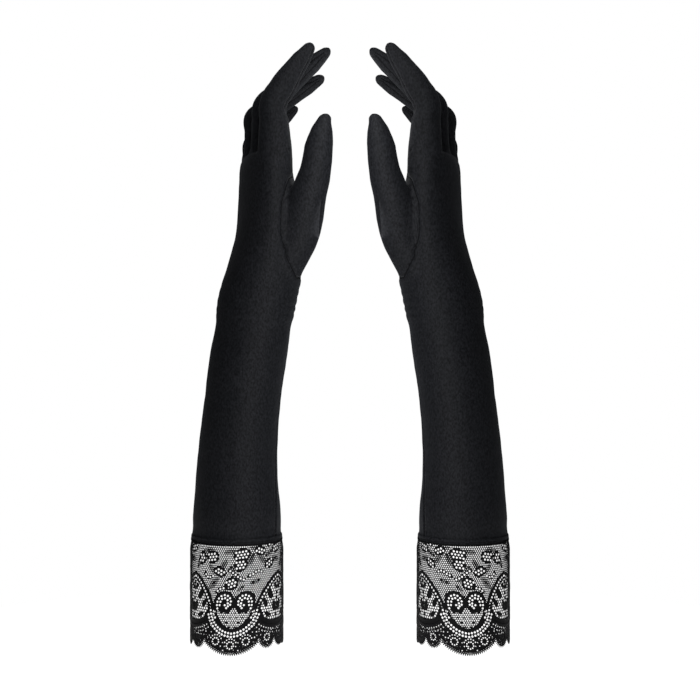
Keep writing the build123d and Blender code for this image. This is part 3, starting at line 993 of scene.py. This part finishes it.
# Goblet under the two curls with its rows of dashes, and the eyelet band round it.
LOWER = curve([(20.9, 28.6), (17.6, 21.6), (11.6, 15.7), (5.6, 12.7), (0.0, 11.6)])
GOBLET = curve([(13.0, 31.8), (11.4, 27.0), (7.6, 22.2), (3.4, 19.2), (0.0, 18.4)])
GOBLET_TOP = 31.8
band = within([(0.0, GOBLET_TOP), (13.4, GOBLET_TOP), (19.0, 34.0), *LOWER], AX, Z)
lace.fill(band, solid)
goblet = within([(0.0, GOBLET_TOP), *GOBLET], AX, Z)
lace.fill(goblet, net(NET_PITCH, 0.3, X, Z))
DASH_FROM, DASH_ROWS, DASH_PITCH = 20.2, 3.3, 4.4
dash_row = np.round((Z - DASH_FROM) / DASH_ROWS)
dash_u = (AX + DASH_PITCH / 2 * (dash_row % 2)) % DASH_PITCH - DASH_PITCH / 2
dash = 0.5 - np.hypot(dash_u / 2.6, Z - DASH_FROM - dash_row * DASH_ROWS)
lace.fill(np.minimum(goblet - 0.9, dash), solid)
lace.holes(beads(shifted(LOWER, -1.9), 2.3), 0.86, AX, Z)
lace.holes(beads(shifted(LOWER, -4.2), 2.25, 0.6), 0.84, AX, Z)
lace.holes([(17.0, 31.4), (14.6, 29.0), (13.0, 26.6), (14.4, 31.0)], 0.8, AX, Z)
lace.cord(line(GOBLET, AX, Z), OUTLINE, 2.0)
lace.cord(line(LOWER, AX, Z), OUTLINE, 2.0)
lace.cord(line([(13.2, GOBLET_TOP), (17.6, 34.6), (19.6, 36.0)], AX, Z), 0.6, 1.8)

# The two curls: a thick cord that winds in on itself, with eyelets along its inside.
CURL = (7.05, 37.4)
cu, cv = AX - CURL[0], Z - CURL[1]
OUTER = curve([(6.6, -5.6), (7.3, -0.4), (5.9, 4.7), (1.4, 7.3), (-3.6, 6.0), (-6.2, 1.4),
               (-5.6, -3.6), (-2.2, -6.4), (1.4, -5.0), (2.0, -1.2), (-0.2, 0.9)])
disc = 7.0 - np.hypot(cu * 0.98, cv)
lace.fill(disc, solid)
CURL_EYES = [(4.9, -4.4), (5.4, -2.1), (5.3, 0.3), (4.4, 2.6), (2.7, 4.3), (0.4, 5.1), (-1.9, 4.6),
             (-3.6, 3.0), (-4.4, 0.8), (-4.2, -1.5), (3.0, 0.4), (2.0, 2.4), (-0.1, 3.0),
             (-2.0, 1.7), (-2.4, -0.6), (-1.6, -3.9), (-0.3, -1.9), (-2.6, -2.6), (3.4, -2.0)]
lace.holes(CURL_EYES, EYELET, cu, cv, 0.2)
lace.cord(line(OUTER, cu, cv), 0.72, 2.1)
lace.cord(line([(0.0, 33.0), (0.0, 42.0)], AX, Z), 0.3, 1.3)

# Border under the band, with three wheels, and the small scallops.
SCALLOP_R = 27.6
SCALLOP_HALF = math.radians(35) * CUFF_R
SMALL_R, SMALL_X, SMALL_Z = 8.2, math.radians(47.5) * CUFF_R, 11.8
SX = np.abs(X)  # the outline itself is not askew
big = SCALLOP_R - np.hypot(CUFF_R * np.sin(SX / CUFF_R), Z - SCALLOP_R)
small = SMALL_R - np.hypot(CUFF_R * np.sin((SX - SMALL_X) / CUFF_R), Z - SMALL_Z)
outline = np.where(SX < SCALLOP_HALF, big, small)
outline = np.where((SX >= SCALLOP_HALF) & (Z > SMALL_Z), 5.0, outline)
under = (arch_shape < 0.4) & (band < 0) & (Z < 28) & (outline > 0)
lace.field = np.where(under, np.maximum(lace.field, net(2.7, 0.9, U, Z)), lace.field)
lace.holes(beads(shifted(ARCH[SIDE_OF_ARCH:], 2.1), 2.3), 0.55, OX, Z, 0.2)
lace.holes(beads(shifted(ARCH[SIDE_OF_ARCH + 8:], 4.6), 2.6), 0.5, OX, Z, 0.2)
lace.cord(line(LOWER, AX, Z), OUTLINE, 2.0)  # once more, over the border's own pattern
for a, b, high in ((0.0, 7.6, 3.4), (10.9, 10.2, 3.5)):
    u, v = AX - a, Z - b
    lace.wheel(np.abs(np.hypot(u, v) - high), u, v, 2.45, 0.56, math.pi / 2)
    lace.cord(np.maximum(np.hypot(u, v) - 0.5, 0), 0.5, 1.9)
    lace.holes([(a + (high + 1.1) * math.cos(t), b + (high + 1.1) * math.sin(t))
                for t in np.linspace(0.5, math.pi - 0.5, 6)], 0.5, AX, Z, 0.14)
u, v = SX - SMALL_X, Z - SMALL_Z
lace.wheel(np.where(v < 3.4, np.abs(np.hypot(u, v) - 3.6), 9), u, v, 2.3, 0.55)
lace.holes([(17.4, 12.6), (18.9, 16.4), (5.4, 4.0), (16.4, 7.6)], 0.55, SX, Z, 0.2)

# Edge: fine teeth, a cord, a slit barred by threads and a second cord, each this far in.
CORD_AT, SLIT_AT, SECOND_CORD_AT = 1.5, 2.3, 2.8
TOOTH_AT, TOOTH, TOOTH_PITCH = 0.75, 0.9, 1.6
turn = np.where(SX < SCALLOP_HALF, np.arctan2(X, SCALLOP_R - Z) * SCALLOP_R,
                np.arctan2(SX - SMALL_X, SMALL_Z - Z) * SMALL_R)
bars = np.abs((turn / TOOTH_PITCH) % 1 - 0.5) * TOOTH_PITCH
low_edge = Z < 22  # the outline is an edge only down here
lace.field = np.where(low_edge & (outline < 3.0), np.maximum(lace.field, 0.5), lace.field)
slit = low_edge & (np.abs(outline - SLIT_AT) < 0.22) & (bars > 0.5)
lace.field = np.where(slit, -0.12, lace.field)
lace.cord(np.where(low_edge, np.abs(outline - CORD_AT), 9), 0.4, 1.6)
lace.cord(np.where(low_edge, np.abs(outline - SECOND_CORD_AT), 9), 0.4, 1.5)
teeth = outline - TOOTH_AT + TOOTH * np.cos(2 * math.pi * turn / TOOTH_PITCH)
lace.field = np.where(low_edge, np.minimum(lace.field, teeth), lace.field)

# Plain heading at the top, where the band is sewn to the sleeve.
lace.fill(Z - (HEIGHT - 2.0), solid)
lace.field = np.minimum(lace.field, HEIGHT + 0.02 - Z)
lace.field = np.minimum(lace.field, 4 * (HALF + 0.02 - np.abs(X)))


def lace_mesh(field, lift):
    """Closed threads where a field is positive: outside, inside and their shared edge.

    Marching squares: c are the corners of each cell and e its crossed edges, both anticlockwise
    from the lower left, and kind adds 1, 2, 4 and 8 for the corners that lie on thread.
    """
    count_z, count_x = field.shape
    number = np.arange(count_z * count_x).reshape(count_z, count_x)
    inside = field > 0
    flat_x, flat_z = X.ravel(), Z.ravel()
    size = field.size
    sharp = np.sqrt(1 - (1 - np.clip(field / 0.3, 0, 1)) ** 2)
    height = (LACE_LIFT * lift * sharp).ravel()

    def crossings(first, second):
        share = field.ravel()[first] / (field.ravel()[first] - field.ravel()[second])
        return (flat_x[first] + share * (flat_x[second] - flat_x[first]),
                flat_z[first] + share * (flat_z[second] - flat_z[first]))

    with np.errstate(divide="ignore", invalid="ignore"):
        level = crossings(number[:, :-1].ravel(), number[:, 1:].ravel())
        upright = crossings(number[:-1].ravel(), number[1:].ravel())
    level_number = 2 * size + np.arange(level[0].size).reshape(count_z, count_x - 1)
    upright_number = 2 * size + level[0].size + np.arange(
        upright[0].size).reshape(count_z - 1, count_x)
    place_x = np.concatenate([flat_x, flat_x, level[0], upright[0]])
    place_z = np.concatenate([flat_z, flat_z, level[1], upright[1]])
    out = np.concatenate([height, -0.6 * height, np.zeros(level[0].size + upright[0].size)])
    c = [number[:-1, :-1], number[:-1, 1:], number[1:, 1:], number[1:, :-1]]
    e = [level_number[:-1], upright_number[:, 1:], level_number[1:], upright_number[:, :-1]]
    kind = (inside[:-1, :-1] * 1 + inside[:-1, 1:] * 2 + inside[1:, 1:] * 4 + inside[1:, :-1] * 8)
    shapes = {
        1: [(c[0], e[0], e[3])], 2: [(c[1], e[1], e[0])], 4: [(c[2], e[2], e[1])],
        8: [(c[3], e[3], e[2])], 3: [(c[0], c[1], e[1], e[3])], 6: [(c[1], c[2], e[2], e[0])],
        12: [(c[2], c[3], e[3], e[1])], 9: [(c[0], e[0], e[2], c[3])],
        7: [(c[0], c[1], c[2], e[2], e[3])], 14: [(c[1], c[2], c[3], e[3], e[0])],
        13: [(c[0], e[0], e[1], c[2], c[3])], 11: [(c[0], c[1], e[1], e[2], c[3])],
        15: [(c[0], c[1], c[2], c[3])], 5: [(c[0], e[0], e[3]), (c[2], e[2], e[1])],
        10: [(c[1], e[1], e[0]), (c[3], e[3], e[2])]}
    faces = []
    for value, polygons in shapes.items():
        for polygon in polygons:
            front = np.stack([ids[kind == value] for ids in polygon], axis=1)
            back = np.where(front < size, front + size, front)[:, ::-1]
            faces += front.tolist() + back.tolist()
    used = np.unique(np.concatenate([np.array(face) for face in faces]))
    renumber = np.full(len(place_x), -1)
    renumber[used] = np.arange(len(used))
    faces = [[int(renumber[index]) for index in face] for face in faces]
    return place_x[used], place_z[used], out[used], faces


flat_x, flat_z, out, lace_faces = lace_mesh(lace.field, lace.lift)
for number in range(REPEATS):
    angle = AXIS_ANGLE + flat_x * MM / CUFF_RADIUS + 2 * math.pi * number / REPEATS
    radius = CUFF_RADIUS + (out - 0.3) * MM - cuff_taper(flat_z * MM)
    points = np.stack([CUFF_AXIS.x + radius * np.sin(angle), CUFF_AXIS.y - radius * np.cos(angle),
                       flat_z * MM], axis=1)
    add_piece(f"lace_{number + 1}", points, lace_faces, LACE, ("lace_cuff",),
              body="sleeve_body")

# Seam that closes the lace band at the back.
lace_seam_low, lace_seam_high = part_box("left_lace_seam")
facing = (lace_seam_low + lace_seam_high) / 2 - CUFF_AXIS
facing = Vector((facing.x, facing.y, 0)).normalized()
centres = [Vector((CUFF_AXIS.x, CUFF_AXIS.y, z)) + facing * (CUFF_RADIUS + 0.1 * MM)
           for z in np.arange(lace_seam_low.z, lace_seam_high.z, 1 * MM)]
points, faces = merge([
    tube_run(centres, [facing] * len(centres), 0.4 * MM),
    stitches(centres, [facing] * len(centres), 1.4 * MM, 0.9 * MM, 0.18 * MM, math.radians(70))])
add_piece("lace_seam_thread", points, faces, LACE_SEWING, ("lace_seam",),
          body="sleeve_body")


# ---------------------------------------------------------------- stage, light and camera
FLOOR_DROP = 40 * MM
FLOOR_GLOW, FORM_GLOW = 1.0, 0.85
ROOM_LIGHT = 0.1  # what the dim room gives the cloth
FORM_GAP = 1.6 * MM  # between a white form and the lace round it
FORM_LOW, FORM_HIGH = 13 * MM, 2 * MM  # the form ends this far above the lace's foot, below its top


def plain(name, colour, glow):
    made, _, _, shader = material(name, colour, 0.9, 0.0, 0.1)
    shader.inputs["Emission Color"].default_value = (1, 1, 1, 1)
    shader.inputs["Emission Strength"].default_value = glow
    return made


bpy.ops.mesh.primitive_circle_add(vertices=128, radius=0.5, fill_type="NGON",
                                  location=(0, 0, -FLOOR_DROP))
floor = bpy.context.object
floor.name = "floor"
floor.data.materials.append(plain("floor_white", (0.9, 0.9, 0.9), FLOOR_GLOW))
floor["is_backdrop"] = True

# White forms inside the lace, as a display arm would show through it. They glow: painted light that
# keeps them evenly white with no shading of their own, and that lights the lace a little from inside.
for side, sign in SIDES.items():
    bpy.ops.mesh.primitive_cylinder_add(
        vertices=96, radius=CUFF_RADIUS - FORM_GAP, depth=CUFF_TOP - FORM_LOW - FORM_HIGH,
        location=(sign * CUFF_AXIS.x, CUFF_AXIS.y, (CUFF_TOP + FORM_LOW - FORM_HIGH) / 2))
    form = bpy.context.object
    form.name = f"{side}_display_form"
    form.data.materials.append(plain("form_glowing_white", (0.9, 0.9, 0.9), FORM_GLOW))
    for polygon in form.data.polygons:
        polygon.use_smooth = len(polygon.vertices) == 4
    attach(form, f"{side}_sleeve_body")
    form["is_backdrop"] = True

world = bpy.data.worlds.new("studio")
world.use_nodes = True
sky_nodes, sky_links = world.node_tree.nodes, world.node_tree.links
room = sky_nodes["Background"]
room.inputs["Color"].default_value = (1, 1, 1, 1)
room.inputs["Strength"].default_value = ROOM_LIGHT
backdrop = sky_nodes.new("ShaderNodeBackground")
backdrop.inputs["Color"].default_value = (1, 1, 1, 1)
backdrop.inputs["Strength"].default_value = 1.0
ray = sky_nodes.new("ShaderNodeLightPath")
either = sky_nodes.new("ShaderNodeMixShader")
sky_links.new(ray.outputs["Is Camera Ray"], either.inputs["Fac"])
sky_links.new(room.outputs["Background"], either.inputs[1])
sky_links.new(backdrop.outputs["Background"], either.inputs[2])
sky_links.new(either.outputs["Shader"], sky_nodes["World Output"].inputs["Surface"])
bpy.context.scene.world = world
bpy.context.scene.view_settings.view_transform = "Standard"


def strip(name, place, target, width, height, power):
    """Soft upright lamp that the camera doesn't see."""
    light = bpy.data.lights.new(name, "AREA")
    light.shape = "RECTANGLE"
    light.size = width
    light.size_y = height
    light.energy = power
    holder = bpy.data.objects.new(name, light)
    holder.location = place
    holder.rotation_euler = (Vector(target) - Vector(place)).to_track_quat("-Z", "Y").to_euler()
    holder.visible_camera = False
    bpy.context.scene.collection.objects.link(holder)


LAMP_FRONT = -0.12  # the long lamps stand this far in front of the middle of the pair
MIDDLE = corners()[1][2] / 2
for side, sign in SIDES.items():
    strip(f"{side}_strip", (0, LAMP_FRONT, MIDDLE + 0.06),
          (sign * CUFF_AXIS.x, 0, MIDDLE), width=0.1, height=0.6, power=0.32)
    strip(f"{side}_hand_strip", (-sign * 0.01, 0.0, WEB + 10 * MM),
          (sign * CUFF_AXIS.x, 0.01, WEB + 20 * MM), width=0.06, height=0.14, power=0.03)

VIEW_HEIGHT = 0.2126
VIEW_DISTANCE = 1.0  # in front of the cuffs
camera_data = bpy.data.cameras.new("camera")
camera_data.lens = 71.7
camera_data.sensor_width = 36
camera = bpy.data.objects.new("camera", camera_data)
camera.location = (0, CUFF_AXIS.y - VIEW_DISTANCE, VIEW_HEIGHT)
camera.rotation_euler = (math.radians(90), 0, 0)
bpy.context.scene.collection.objects.link(camera)
bpy.context.scene.camera = camera
